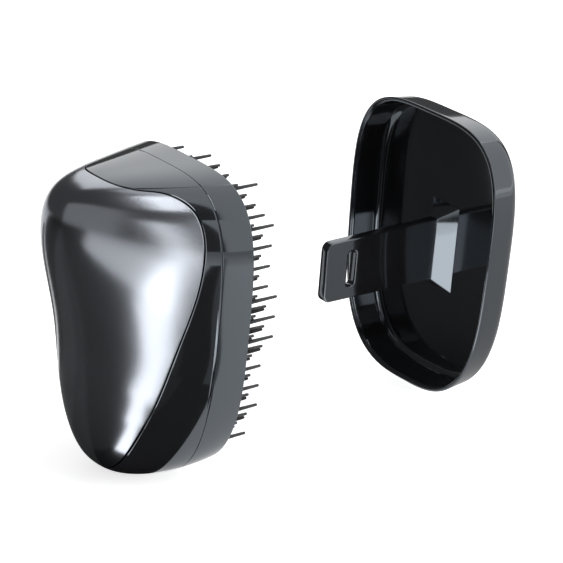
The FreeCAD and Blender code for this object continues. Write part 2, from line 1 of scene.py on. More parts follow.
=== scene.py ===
"""A compact hair grooming brush with its clip-on cover pulled off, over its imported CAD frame."""
import math

import bpy
import mathutils
import numpy as np
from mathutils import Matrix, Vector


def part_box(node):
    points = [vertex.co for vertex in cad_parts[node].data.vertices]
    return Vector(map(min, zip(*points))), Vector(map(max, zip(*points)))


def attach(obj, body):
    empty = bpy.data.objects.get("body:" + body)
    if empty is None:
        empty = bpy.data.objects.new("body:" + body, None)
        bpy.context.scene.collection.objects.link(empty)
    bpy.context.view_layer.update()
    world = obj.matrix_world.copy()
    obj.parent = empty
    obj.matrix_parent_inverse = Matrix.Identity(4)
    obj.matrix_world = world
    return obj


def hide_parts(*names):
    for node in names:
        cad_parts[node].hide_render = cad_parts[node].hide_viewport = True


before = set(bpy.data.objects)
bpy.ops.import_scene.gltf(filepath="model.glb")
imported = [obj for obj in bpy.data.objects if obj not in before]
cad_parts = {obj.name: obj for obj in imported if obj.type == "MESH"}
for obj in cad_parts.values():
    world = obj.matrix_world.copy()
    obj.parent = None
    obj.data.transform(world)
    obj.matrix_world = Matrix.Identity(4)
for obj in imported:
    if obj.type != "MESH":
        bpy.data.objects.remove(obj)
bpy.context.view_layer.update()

bl_info = {
    "name": "Grooming brush and cover",
    "version": (1, 0, 0),
    "blender": (4, 5, 0),
    "location": "View3D > Sidebar > Grooming brush",
    "description": "Dresses the packed grooming brush and lights it",
    "category": "Object",
}

# Origin of the brush's own axes: rim plane, middle of the width, middle of the rim's length
RIM_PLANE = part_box("lower_shell")[1][0]
MID_LENGTH = (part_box("shell_screws")[0][2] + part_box("shell_screws")[1][2]) / 2.0
ORIGIN = np.array([RIM_PLANE, 0.0, MID_LENGTH])
MM = 0.001

# Shapes of the forms, the same as in the part's source
HEAD_POWER = 3.7
TAIL_POWER = 2.95
CROWN_POWER = 2.0
RIM_TAPER = 0.04
WAIST_PLACE = 0.03
WAIST_SPREAD = 0.48
SIDE_POWER = 1.15
END_POWER = 4.6
# Edge of the metal back from the side, tail to head: shares of the depth and the half length
BACK_EDGE_SHARES = np.array([
    (-0.615, -1.20), (-0.605, -1.0), (-0.578, -0.70), (-0.519, -0.40), (-0.446, -0.06),
    (-0.370, 0.27), (-0.318, 0.60), (-0.315, 0.76), (-0.345, 0.865), (-0.42, 0.925),
    (-0.60, 0.955), (-0.85, 1.02), (-1.05, 1.10),
])

# How finely the tables behind the grids are cut
TURN_STEPS = 400001
LEVEL_STEPS = 1601
TRIM_STEPS = 2000
# How finely the grids are cut: columns round the brush, rows across a stretch, points of an edge
COLUMNS = 400
BACK_ROWS = 90
BACK_INNER_ROWS = 24
BODY_ROWS = 26
BODY_INNER_ROWS = 8
BAND_ROWS = 14
WALL_ROWS = 8
EDGE_POINTS = 6
LIP_POINTS = 5
TRAY_POINTS = 10
BLADE_POINTS = 17
FOOT_POINTS = 9
BRISTLE_SIDES = 8
SHEET_POINTS = 9
# Where rows lie: a power that crowds them at the crown, and shares of the base and of the foot
CROWN_CROWDING = 1.4
BASE_SHARES = np.array([0.15, 0.4, 0.7, 0.9, 0.97])
FOOT_SHARES = np.array([0.0, 0.03, 0.12, 0.35, 0.6, 0.85, 0.97, 1.0])
TIP_ANGLES = np.array([0.0, 0.2, 0.38]) * math.pi
# Share of the depth at which a point is surely inside the body
INSIDE_SHARE = 0.3

# Runs along the skin from an edge to the rows beside it
BACK_LEAD = 1.6 * MM
BACK_NEAR = np.array([1.1, 0.7, 0.45]) * MM
SKIN_NEAR = np.array([0.4, 0.8]) * MM
# Hidden sizes of the body: the bed under the metal back, the parting line's walls, the rim's inside
BED_LAP = 2.0 * MM
BED_STEP = 0.6 * MM
BOND_GAP = 0.15 * MM
GROOVE_STEP = 0.5 * MM
SEAM_LAP = 1.2 * MM
SEAM_WALL = 0.6 * MM
SEAM_STEP = 0.3 * MM
LIP_STEP = 1.0 * MM
LEDGE_INSET = 3.0 * MM
LEDGE_PLACES = np.array([[-5.0], [-9.5]]) * MM
# Hidden sizes of the bristles and the tongue
BRISTLE_SINK = 0.2 * MM
TONGUE_ROOM = 0.6 * MM
BLADE_LAP = 0.6 * MM
FOOT_LAP = 0.05 * MM
SHARP_CORNER = 0.05 * MM
FACE_MARGIN = 0.3 * MM

# Finishes: colour, lowest and highest roughness, metallic, grain per metre and its depth,
# spread of the colour and its patches per metre
FINISHES = {
    "satin_gunmetal": ("metal", (0.17, 0.24), 1.0, 5200.0, 4e-6, 0.08, 60.0),
    "polished_black": ("gloss", (0.05, 0.08), 0.0, 900.0, 1e-7, 0.15, 40.0),
    "soft_black_pad": ("pad", (0.45, 0.60), 0.0, 3000.0, 1.2e-5, 0.2, 120.0),
    "long_bristle_black": ("bristle_long", (0.30, 0.42), 0.0, 2600.0, 4e-6, 0.4, 260.0),
    "short_bristle_black": ("bristle_short", (0.40, 0.52), 0.0, 2600.0, 4e-6, 0.4, 260.0),
    "moulded_grey": ("inner", (0.40, 0.52), 0.0, 2400.0, 8e-6, 0.12, 90.0),
    "bright_steel": ("steel", (0.22, 0.34), 1.0, 3600.0, 3e-6, 0.06, 150.0),
}
# Reflections that differ from the shader's own
GLOSS = {
    "polished_black": {"IOR": 1.81},
    "long_bristle_black": {"Specular IOR Level": 0.3},
    "short_bristle_black": {"Specular IOR Level": 0.15},
}
GRAIN_DETAIL = 3.0
PATCH_DETAIL = 4.0
# Finishes of the nodes that are shown as the CAD made them
INNER_FINISHES = {
    "bristle_pad": "soft_black_pad", "pad_carrier": "moulded_grey",
    "tongue_socket": "moulded_grey", "shell_screws": "bright_steel",
    "catch_leaf": "bright_steel", "catch_rivets": "bright_steel",
}

# Stage, in millimetres from the brush's own origin, with heights from the table
FLOOR_HALF = 3000.0
FLOOR_HEIGHT = -0.5
FLOOR_SHADE = 0.9
CARD_HEIGHT = -0.3
CARD_TURN = math.radians(40.8)
# Cards: low corner, high corner, turn and shade
CARDS = {
    "card_by_back": ((-400.0, -115.0), (-41.0, -85.0), 0.0, 0.14),
    "card_under_back": ((-400.0, -85.0), (-36.0, 0.0), 0.0, 0.14),
    "card_behind_back": ((-400.0, 0.0), (-13.0, 24.0), 0.0, 0.21),
    "card_past_back": ((-400.0, 24.0), (-13.0, 70.0), 0.0, 0.28),
    "card_by_side": ((-41.0, -420.0), (-21.0, -85.0), 0.0, 0.07),
    "card_under_side": ((-36.0, -85.0), (-13.0, 0.0), 0.0, 0.07),
    "card_by_seam": ((-21.0, -700.0), (-12.5, -85.0), 0.0, 0.4),
    "card_far_back": ((-2500.0, 60.0), (30.0, 3000.0), CARD_TURN, 0.14),
    "card_by_cover": ((100.0, -700.0), (3000.0, 15.0), 0.0, 0.64),
    "card_behind_cover": ((47.0, -52.0), (88.0, 260.0), CARD_TURN, 0.12),
}
UPRIGHT = (0.0, 0.0, 1.0)
# Lights: name, its brightness among the stage values, width, height, place, target, roll axis
PANELS = (
    ("side_softbox", "side_softbox", 504.0, 314.0,
     (243.0, -450.0, 173.0), (243.0, 0.0, 173.0), UPRIGHT),
    ("right_panel", "right_panel", 760.0, 700.0,
     (511.0, -308.0, 238.0), (101.0, -8.0, -7.0), UPRIGHT),
    ("head_strip", "head_strip", 26.0, 290.0,
     (45.0, -177.0, 440.0), (-10.0, -10.0, 40.0), (0.26, 0.96, 0.0)),
    ("over_panel", "over_panel", 420.0, 736.0,
     (279.5, -253.0, 440.0), (279.5, -253.0, 0.0), (0.068, 0.998, 0.0)),
    ("back_panel", "back_panel", 700.0, 600.0,
     (438.0, 335.0, 443.0), (7.0, -27.0, 118.0), UPRIGHT),
    ("front_panel", "front_panel", 1000.0, 740.0,
     (-579.0, -291.0, 345.0), (-30.0, 0.0, 20.0), UPRIGHT),
    ("low_strip", "low_strip", 30.0, 369.0,
     (-87.7, -267.5, -47.0), (-87.7, -267.5, 60.0), (0.148, 0.989, 0.0)),
    ("low_strip_near", "low_strip", 20.0, 42.0,
     (-54.7, -67.0, -47.0), (-54.7, -67.0, 60.0), (0.220, 0.975, 0.0)),
    ("low_strip_bend", "low_strip", 10.0, 22.0,
     (-45.3, -39.0, -47.0), (-45.3, -39.0, 60.0), (0.497, 0.868, 0.0)),
    ("low_strip_end", "low_strip", 6.0, 20.0,
     (-35.5, -22.5, -47.0), (-35.5, -22.5, 60.0), (0.468, 0.884, 0.0)),
    ("tall_strip", "tall_strip", 56.0, 330.0,
     (-107.0, -475.0, 115.0), (-20.0, -20.0, 70.0), UPRIGHT),
    ("foot_light", "foot_light", 10.0, 28.0,
     (72.0, -30.5, -18.6), (98.5, -4.7, -3.0), UPRIGHT),
)
SENSOR_WIDTH = 36.0
NEAREST_SEEN = 0.01


def length(name, default, description):
    """A property in metres, its default given in millimetres."""
    return bpy.props.FloatProperty(
        name=name, default=default * MM, description=description, unit="LENGTH", precision=5)


def tilt(name, default, description):
    """An angle property, its default given in degrees."""
    return bpy.props.FloatProperty(
        name=name, default=math.radians(default), description=description, subtype="ANGLE")


def colour(name, default, description):
    """A colour property."""
    return bpy.props.FloatVectorProperty(
        name=name, default=default, description=description,
        subtype="COLOR", size=3, min=0.0, max=1.0)


def strength(name, default, description):
    """A light's brightness, where 1 reads as white."""
    return bpy.props.FloatProperty(name=name, default=default, description=description, min=0.0)


class BrushSizes(bpy.types.PropertyGroup):
    """Sizes of the brush's body"""
    rim_length: length("Rim length", 90.0, "Rim, tail to head")
    rim_width: length("Rim width", 64.8, "Rim, across")
    depth: length("Depth", 43.4, "Rim to back at mid length, before the waist")
    slope: length("Back slope", 9.3, "Extra depth at the head, lost at the tail")
    waist: length("Back waist", 3.1, "Hollow in the back where the fingers lie")
    tail_bulge: length("Tail bulge", 3.5, "How far the tail swells past its rim")
    head_tuck: length("Head tuck", 0.4, "How far the head draws in behind its rim")
    seam_depth: length("Seam depth", 9.0, "Rim to the parting line of the two shells")
    trim_gap: length("Trim gap", 0.3, "Groove round the metal back")
    trim_round: length("Trim rounding", 0.35, "Rounded edge of the metal back")
    trim_depth: length("Trim depth", 1.0, "Depth of the groove round the metal back")
    back_wall: length("Back wall", 1.0, "Thickness of the metal back")
    shell_wall: length("Shell wall", 2.2, "Thickness of the shells")
    seam_gap: length("Seam gap", 0.10, "Width of the parting line")
    seam_round: length("Seam rounding", 0.09, "Rounded edges of the parting line")
    rim_wall: length("Rim wall", 1.4, "Lip of the lower shell")
    rim_round: length("Rim rounding", 0.4, "Rounded outer edge of the lip")
    lip_round: length("Lip rounding", 0.2, "Rounded inner edge of the lip")
    rim_inside: length("Rim inside", 3.0, "Depth of the lip's inner wall")


class BristleSizes(bpy.types.PropertyGroup):
    """Sizes of the bristles and of the field that they stand in"""
    recess: length("Pad recess", 1.2, "Pad face below the rim")
    reach: length("Long reach", 11.2, "Long bristle tips past the rim")
    reach_short: length("Short reach", 7.0, "Short bristle tips past the rim")
    root: length("Root", 1.24, "Bristle diameter at the pad")
    tip: length("Tip", 0.84, "Bristle diameter at its tip")
    inset: length("Inset", 3.12, "Rim to the middle of the outer bristles")
    pitch: length("Pitch", 3.1, "Along a row")
    row_pitch: length("Row pitch", 4.28, "From row to row")
    slack: length("Slack", 0.05, "How far a bristle may lie past the outer line")
    room: length("Room", 1.22, "Bristle to the tongue's outline")


class CoverSizes(bpy.types.PropertyGroup):
    """Sizes of the cover's tray"""
    gap: length("Gap", 90.6, "Rim to rim with the cover pulled off")
    depth: length("Depth", 12.3, "Rim to base")
    floor: length("Floor", 1.1, "Floor thickness")
    wall: length("Wall", 1.25, "Wall thickness at the rim")
    draft: length("Draft", 0.7, "How far the wall leans in")
    base_round: length("Base rounding", 5.0, "Rounding of the base edge")
    floor_round: length("Floor rounding", 2.4, "Rounding of the inner edge")
    lip_round: length("Lip rounding", 0.55, "Rounding of the lip's edges")


class TongueSizes(bpy.types.PropertyGroup):
    """Sizes of the cover's tongue"""
    thick: length("Thickness", 3.0, "Blade thickness")
    root_width: length("Root width", 20.4, "Blade at its root")
    tip_width: length("Tip width", 19.2, "Blade at its tip")
    corner: length("Tip corner", 2.6, "Rounding of the tip")
    reach: length("Reach", 37.3, "Tip past the cover's rim")
    drop: length("Drop", 1.2, "Middle of the tongue below mid length")
    window_length: length("Window length", 11.4, "Catch window across the blade")
    window_width: length("Window width", 3.2, "Catch window along the blade")
    window_inset: length("Window inset", 8.6, "Catch window to the tip")
    window_corner: length("Window corner", 1.2, "Rounding of the window")
    edge_round: length("Edge rounding", 0.35, "Rounded edges of the blade and the foot")
    flare_depth: length("Flare depth", 6.4, "Cover rim to the start of the flared foot")
    flare_width: length("Flare width", 12.4, "Flared foot on the floor, across")
    flare_length: length("Flare length", 28.6, "Flared foot on the floor, tail to head")


class FinishColours(bpy.types.PropertyGroup):
    """Colours of the finishes"""
    metal: colour("Metal coat", (0.255, 0.270, 0.297), "Satin gunmetal of the back")
    gloss: colour("Black gloss", (0.007, 0.007, 0.0078), "Polished black of shells and cover")
    sheen: colour("Black sheen", (0.80, 0.90, 1.0), "Cool tint of the black's reflections")
    pad: colour("Pad", (0.016, 0.016, 0.018), "Soft black of the bristle pad")
    bristle_long: colour("Long bristle", (0.030, 0.032, 0.035), "Greyer black of the long ones")
    bristle_short: colour("Short bristle", (0.012, 0.012, 0.013), "Deep black of the short ones")
    inner: colour("Inner plastic", (0.06, 0.06, 0.065), "Moulded inner parts")
    steel: colour("Steel", (0.45, 0.45, 0.47), "Screws, rivets and the leaf")


class StageValues(bpy.types.PropertyGroup):
    """The camera's place and the brightness of the lights"""
    azimuth: tilt("Azimuth", -40.3, "Camera round the object")
    elevation: tilt("Elevation", 22.25, "Camera over the horizon")
    roll: tilt("Roll", 4.64, "Camera tilt")
    distance: length("Distance", 719.5, "Camera to the aim point")
    aim_right: length("Aim right", 29.2, "Aim point to the right of the brush's middle")
    aim_up: length("Aim up", 6.1, "Aim point above the brush's middle")
    lens: bpy.props.FloatProperty(
        name="Lens", default=159.86, description="Focal length in millimetres")
    side_softbox: strength("Side softbox", 1.35, "Wide softbox beside the brush")
    right_panel: strength("Right panel", 1.25, "Large panel beside the cover")
    head_strip: strength("Head strip", 8.5, "Narrow strip over the head")
    over_panel: strength("Over panel", 1.35, "Long panel above the bristles")
    back_panel: strength("Back panel", 1.55, "Wide panel behind, which the tops show")
    front_panel: strength("Front panel", 0.36, "Large dim panel before the back")
    low_strip: strength("Low strip", 4.2, "Strips along the table, which streak the metal")
    tall_strip: strength("Tall strip", 3.0, "Upright strip at the end of the low ones")
    foot_light: strength("Foot light", 5.0, "Small light that shows on the tongue's foot")
    room: strength("Room light", 0.12, "Level of the plain grey room")
    floor_glow: strength("Floor glow", 0.72, "Glow of the pale floor, so that it reads as white")


def signed_power(value, power):
    """Power of a number's size, with its sign kept."""
    return np.sign(value) * np.abs(value) ** power


def ring_shares(angle, level):
    """Superellipse that widens to the head, with square corners at the rim and an oval crown."""
    squarest = np.where(np.cos(angle) > 0.0, HEAD_POWER, TAIL_POWER)
    power = 2.0 / (CROWN_POWER + (squarest - CROWN_POWER) * level)
    z_share = signed_power(np.cos(angle), power)
    y_share = signed_power(np.sin(angle), power)
    return y_share * (1.0 + RIM_TAPER * z_share), z_share


def even_turns(brush):
    """Table of ring angle against share of the rim's length, so that columns stand evenly."""
    angle = np.linspace(0.0, 2.0 * math.pi, TURN_STEPS)
    y_share, z_share = ring_shares(angle, 1.0)
    ring = np.stack([y_share * brush.rim_width / 2.0, z_share * brush.rim_length / 2.0], -1)
    run = np.concatenate(([0.0], np.cumsum(np.linalg.norm(np.diff(ring, axis=0), axis=1))))
    return run / run[-1], angle


def smooth_line(points, count):
    """Natural cubic spline through points, spaced by chord, as a fine line."""
    chord = np.diff(points, axis=0)
    gap = np.linalg.norm(chord, axis=1)
    place = np.concatenate(([0.0], np.cumsum(gap)))
    inner = np.arange(1, len(points) - 1)
    system = np.eye(len(points))
    system[inner, inner - 1] = gap[:-1]
    system[inner, inner] = 2.0 * (gap[:-1] + gap[1:])
    system[inner, inner + 1] = gap[1:]
    pull = np.zeros_like(points)
    pull[1:-1] = 6.0 * (chord[1:] / gap[1:, None] - chord[:-1] / gap[:-1, None])
    bend = np.linalg.solve(system, pull)
    at = np.linspace(0.0, place[-1], count)
    part = np.clip(np.searchsorted(place, at, side="right") - 1, 0, len(points) - 2)
    before = ((place[part + 1] - at) / gap[part])[:, None]
    after = 1.0 - before
    curve = (before ** 3 - before) * bend[part] + (after ** 3 - after) * bend[part + 1]
    straight = before * points[part] + after * points[part + 1]
    return straight + curve * gap[part][:, None] ** 2 / 6.0


class BrushForm:
    """The body's skin by level, 1 at the rim and 0 at the crown, and by the turn round it."""

    def __init__(self, brush):
        self.brush = brush
        self.turn_table, self.angle_table = even_turns(brush)
        self.turn = (np.arange(COLUMNS) + 0.5) / COLUMNS

    def angle(self, turn):
        """Ring angle at a turn, read from the table."""
        return np.interp(turn % 1.0, self.turn_table, self.angle_table)

    def skin(self, level, turn):
        """Rings that narrow fast across and late along, on a sloping back with a waist."""
        brush = self.brush
        half_length = brush.rim_length / 2.0
        down = 1.0 - level ** 2
        across = np.sqrt(np.maximum(1.0 - down ** SIDE_POWER, 0.0))
        along = 1.0 - (1.0 - level) ** END_POWER
        swell = 4.0 * down * (1.0 - down)
        top = half_length * along - brush.head_tuck * swell
        bottom = -half_length * along - brush.tail_bulge * swell
        y_share, z_share = ring_shares(self.angle(turn), level)
        z = (top + bottom) / 2.0 + (top - bottom) / 2.0 * z_share
        z_place = z / half_length
        waist = np.exp(-((z_place - WAIST_PLACE) / WAIST_SPREAD) ** 2)
        x = -down * (brush.depth + brush.slope * z_place - brush.waist * waist)
        y = y_share * across * brush.rim_width / 2.0
        return np.stack(np.broadcast_arrays(x, y, z), -1)

    def slopes(self, level, turn):
        """Differences of the skin along the level and along the turn."""
        step = 2e-4
        higher, lower = np.minimum(level + step, 1.0), np.maximum(level - step, 0.0)
        along_level = self.skin(higher, turn) - self.skin(lower, turn)
        along_turn = self.skin(level, turn + step) - self.skin(level, turn - step)
        return along_level, along_turn

    def sunk(self, level, turn, drop):
        """The skin moved inwards along its normal by a drop."""
        point = self.skin(level, turn)
        along_level, along_turn = self.slopes(level, turn)
        normal = np.cross(along_level, along_turn)
        size = np.linalg.norm(normal, axis=-1, keepdims=True)
        at_crown = np.array([-1.0, 0.0, 0.0])
        normal = np.where(size > 0.0, normal / np.maximum(size, 1e-30), at_crown)
        middle = np.array([-INSIDE_SHARE * self.brush.depth, 0.0, 0.0])
        outward = np.sign(np.sum(normal * (point - middle), -1, keepdims=True))
        return point - normal * outward * np.asarray(drop)[..., None]

    def rows(self, levels, drops):
        """Rows of the skin, a level for each column, each row moved inwards by its own drop."""
        return self.sunk(levels, self.turn[None, :], drops[:, None])

    def crossing(self, ahead):
        """Level where a measure of the point, going from rim to crown, first turns negative."""
        levels = np.linspace(1.0, 0.0, LEVEL_STEPS)[:, None]
        value = ahead(self.skin(levels, self.turn[None, :]))
        first = np.argmax(value < 0.0, axis=0)
        columns = np.arange(COLUMNS)
        before, after = value[first - 1, columns], value[first, columns]
        share = before / (before - after)
        return levels[first - 1, 0] * (1.0 - share) + levels[first, 0] * share

    def seam_level(self):
        """Where the skin meets the plane of the parting line."""
        return self.crossing(lambda point: point[..., 0] + self.brush.seam_depth)

    def trim_level(self):
        """Where the skin meets the metal back's edge, one smooth line seen from the side."""
        scale = np.array([self.brush.depth, self.brush.rim_length / 2.0])
        line = smooth_line(BACK_EDGE_SHARES * scale, TRIM_STEPS)
        return self.crossing(
            lambda point: point[..., 0] - np.interp(point[..., 2], line[:, 1], line[:, 0]))

    def shifted(self, level, run):
        """Levels at a run across the skin from a line, towards the rim if it is positive."""
        line = self.skin(level, self.turn)
        tangent = np.roll(line, -1, axis=0) - np.roll(line, 1, axis=0)
        tangent /= np.linalg.norm(tangent, axis=1, keepdims=True)
        step = 1e-3
        ahead, behind = self.skin(level + step, self.turn), self.skin(level - step, self.turn)
        pace = (ahead - behind) / (2.0 * step)
        reach = np.linalg.norm(np.cross(pace, tangent), axis=1)
        return level[None, :] + np.asarray(run)[:, None] / reach[None, :]


def flat_ring(brush, inset, x, angle):
    """The rim's outline drawn in by an inset, at a place along X."""
    y_share, z_share = ring_shares(angle, 1.0)
    y = (brush.rim_width / 2.0 - inset) * y_share
    z = (brush.rim_length / 2.0 - inset) * z_share
    return np.stack(np.broadcast_arrays(x, y, z), -1)


def quarter(count):
    """Angles of a rounded edge, both ends included."""
    return np.linspace(0.0, math.pi / 2.0, count)


def rounded(radius):
    """Run and drop of a rounded edge: level with the skin at first, straight down at last."""
    turn = quarter(EDGE_POINTS)
    return radius * (1.0 - np.sin(turn)), radius * (1.0 - np.cos(turn))


def rounded_outline(corners, radii, count):
    """A polygon with rounded corners as one closed line: each corner an arc of equal count."""
    corners, radii = np.asarray(corners), np.asarray(radii)
    to_last = np.roll(corners, 1, axis=0) - corners
    to_next = np.roll(corners, -1, axis=0) - corners
    to_last /= np.linalg.norm(to_last, axis=1, keepdims=True)
    to_next /= np.linalg.norm(to_next, axis=1, keepdims=True)
    half = np.arccos(np.clip(np.sum(to_last * to_next, axis=1), -1.0, 1.0)) / 2.0
    bisector = to_last + to_next
    bisector /= np.linalg.norm(bisector, axis=1, keepdims=True)
    centre = corners + bisector * (radii / np.sin(half))[:, None]
    start = corners + to_last * (radii / np.tan(half))[:, None] - centre
    end = corners + to_next * (radii / np.tan(half))[:, None] - centre
    share = np.linspace(0.0, 1.0, count)[None, :, None]
    sweep = (math.pi - 2.0 * half)[:, None, None]
    from_start = np.sin((1.0 - share) * sweep) * start[:, None]
    to_end = np.sin(share * sweep) * end[:, None]
    return (centre[:, None] + (from_start + to_end) / np.sin(sweep)).reshape(-1, 2)


NO_FACES = np.zeros((0, 3), dtype=int)


def band_faces(rows, columns, ring_of_rows):
    """Quads of a grid whose columns close on themselves, and whose rows do too where asked."""
    row = np.arange(rows if ring_of_rows else rows - 1)[:, None] * columns
    column = np.arange(columns)[None, :]
    beside = (column + 1) % columns
    below = (row + columns) % (rows * columns)
    corners = (row + column, row + beside, below + beside, below + column)
    return np.stack(np.broadcast_arrays(*corners), -1).reshape(-1, 4)


def fan_faces(pole, ring):
    """Triangles from a pole to a closed ring of vertices."""
    return np.stack([np.full(len(ring), pole), ring, np.roll(ring, -1)], -1)


def end_fans(rows, columns):
    """Fans that close a grid's first and last row on the two poles that follow its points."""
    first = np.arange(columns)
    last = first + (rows - 1) * columns
    pole = rows * columns
    return np.concatenate([fan_faces(pole, first)[:, ::-1], fan_faces(pole + 1, last)])


def facing_out(points, quads, triangles):
    """Turns all faces round if the closed shape's volume comes out negative."""
    cut = np.concatenate([quads[:, [0, 1, 2]], quads[:, [0, 2, 3]], triangles])
    corner = points[cut]
    volume = np.sum(corner[:, 0] * np.cross(corner[:, 1], corner[:, 2]))
    return (quads[:, ::-1], triangles[:, ::-1]) if volume < 0.0 else (quads, triangles)


def make_piece(name, points, quads, triangles, finish, body):
    """A smooth piece from one closed grid, in the frame, riding on a body."""
    if not np.isfinite(points).all():
        raise RuntimeError(f"{name} has a point that is not a number")
    quads, triangles = facing_out(points, quads, triangles)
    mesh = bpy.data.meshes.new(name)
    mesh.from_pydata((points + ORIGIN).tolist(), [], quads.tolist() + triangles.tolist())
    mesh.shade_smooth()
    mesh.materials.append(finish)
    made = bpy.data.objects.new(name, mesh)
    bpy.context.scene.collection.objects.link(made)
    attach(made, body)
    return made


def closed_band(name, rows, finish, body):
    """A ring-shaped piece: the rows of the grid run round its section and meet again."""
    faces = band_faces(*rows.shape[:2], True)
    return make_piece(name, rows.reshape(-1, 3), faces, NO_FACES, finish, body)


def capped_band(name, rows, finish, body):
    """A dish-shaped piece: rows from pole to pole, each pole the middle of its end row."""
    count, columns = rows.shape[:2]
    poles = np.stack([rows[0].mean(axis=0), rows[-1].mean(axis=0)])
    points = np.concatenate([rows.reshape(-1, 3), poles])
    faces = band_faces(count, columns, False)
    return make_piece(name, points, faces, end_fans(count, columns), finish, body)


def new_finish(name, base, roughness, metallic, grain, grain_depth, spread, patch):
    """A finish with fine grain for its bump and roughness, and soft patches in its colour."""
    finish = bpy.data.materials.new(name)
    finish.use_nodes = True
    finish.diffuse_color = (*base, 1.0)
    tree = finish.node_tree
    link = tree.links.new
    shader = tree.nodes["Principled BSDF"]
    shader.inputs["Metallic"].default_value = metallic
    place = tree.nodes.new("ShaderNodeTexCoord")
    fine = tree.nodes.new("ShaderNodeTexNoise")
    fine.inputs["Scale"].default_value = grain
    fine.inputs["Detail"].default_value = GRAIN_DETAIL
    broad = tree.nodes.new("ShaderNodeTexNoise")
    broad.inputs["Scale"].default_value = patch
    broad.inputs["Detail"].default_value = PATCH_DETAIL
    tint = tree.nodes.new("ShaderNodeMix")
    tint.data_type = "RGBA"
    tint.inputs["A"].default_value = (*[value * (1.0 - spread) for value in base], 1.0)
    tint.inputs["B"].default_value = (*[min(value * (1.0 + spread), 1.0) for value in base], 1.0)
    rough = tree.nodes.new("ShaderNodeMapRange")
    rough.inputs["To Min"].default_value = roughness[0]
    rough.inputs["To Max"].default_value = roughness[1]
    bump = tree.nodes.new("ShaderNodeBump")
    bump.inputs["Strength"].default_value = 1.0
    bump.inputs["Distance"].default_value = grain_depth
    for noise in (fine, broad):
        link(place.outputs["Object"], noise.inputs["Vector"])
    link(broad.outputs["Fac"], tint.inputs["Factor"])
    link(tint.outputs["Result"], shader.inputs["Base Color"])
    link(fine.outputs["Fac"], rough.inputs["Value"])
    link(rough.outputs["Result"], shader.inputs["Roughness"])
    link(fine.outputs["Fac"], bump.inputs["Height"])
    link(bump.outputs["Normal"], shader.inputs["Normal"])
    return finish


def finish_for(kind):
    """One of the object's finishes, made the first time that it is asked for."""
    known = bpy.data.materials.get(kind)
    if known:
        return known
    colours = bpy.context.scene.brush_colours
    base, *values = FINISHES[kind]
    made = new_finish(kind, getattr(colours, base), *values)
    shader = made.node_tree.nodes["Principled BSDF"]
    for socket, value in GLOSS.get(kind, {}).items():
        shader.inputs[socket].default_value = value
    if kind == "polished_black":
        shader.inputs["Specular Tint"].default_value = (*colours.sheen, 1.0)
    return made


def matt_paper(name, shade):
    """A plain matt grey for the stage, with no gloss."""
    finish = bpy.data.materials.new(name)
    finish.use_nodes = True
    paper = finish.node_tree.nodes["Principled BSDF"]
    paper.inputs["Base Color"].default_value = (shade, shade, shade, 1.0)
    paper.inputs["Roughness"].default_value = 1.0
    paper.inputs["Specular IOR Level"].default_value = 0.0
    return finish


class GROOMING_OT_metal_back(bpy.types.Operator):
    """Make the satin metal back as a thin skin with a rounded edge"""
    bl_idname = "grooming.metal_back"
    bl_label = "Metal back"

    def execute(self, context):
        brush = context.scene.brush_sizes
        form = BrushForm(brush)
        edge = form.trim_level()
        lead = form.shifted(edge, [-BACK_LEAD])
        shares = np.linspace(0.0, 1.0, BACK_ROWS)[1:, None] ** CROWN_CROWDING
        inner_shares = np.linspace(1.0, 0.0, BACK_INNER_ROWS)[:-1, None]
        run, drop = rounded(brush.trim_round)
        near = np.concatenate((-BACK_NEAR, -run, [0.0]))
        near_drop = np.concatenate((np.zeros(len(BACK_NEAR)), drop, [brush.trim_depth]))
        inner_drop = np.full(len(inner_shares), brush.back_wall)
        levels = np.concatenate([shares * lead, form.shifted(edge, near), inner_shares * lead])
        drops = np.concatenate([np.zeros(len(shares)), near_drop, inner_drop])
        rows = form.rows(levels, drops)
        back = capped_band(
            "metal_back", rows, finish_for("satin_gunmetal"), "brush")
        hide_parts("back_cover")
        return {"FINISHED"}


class GROOMING_OT_upper_body(bpy.types.Operator):
    """Make the gloss black body between the metal back and the parting line"""
    bl_idname = "grooming.upper_body"
    bl_label = "Upper body"

    def execute(self, context):
        brush = context.scene.brush_sizes
        form = BrushForm(brush)
        run, drop = rounded(brush.seam_round)
        flush = np.zeros(len(SKIN_NEAR))
        gap, bed = brush.trim_gap, brush.back_wall + BOND_GAP
        first = np.concatenate((
            [-BED_LAP, -BED_STEP, gap, gap], (gap + run)[::-1], gap + SKIN_NEAR))
        first_drop = np.concatenate(([bed, bed, bed, GROOVE_STEP], drop[::-1], flush))
        half = brush.seam_gap / 2.0
        last = np.concatenate((-half - SKIN_NEAR[::-1], -half - run, [-half, -half]))
        last_drop = np.concatenate((flush, drop, [SEAM_WALL, brush.shell_wall]))
        start = form.shifted(form.trim_level(), first)
        end = form.shifted(form.seam_level(), last)
        across = np.linspace(0.0, 1.0, BODY_ROWS)[1:-1, None]
        middle = start[-1] + (end[0] - start[-1]) * across
        under = np.linspace(0.0, 1.0, BODY_INNER_ROWS)[1:, None]
        inner = end[-1] + (start[0] - end[-1]) * under
        inner_drop = np.full(len(inner), brush.shell_wall)
        levels = np.concatenate([start, middle, end, inner])
        drops = np.concatenate([first_drop, np.zeros(len(middle)), last_drop, inner_drop])
        rows = form.rows(levels, drops)
        body = closed_band(
            "upper_body", rows, finish_for("polished_black"), "brush")
        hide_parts("upper_shell")
        return {"FINISHED"}


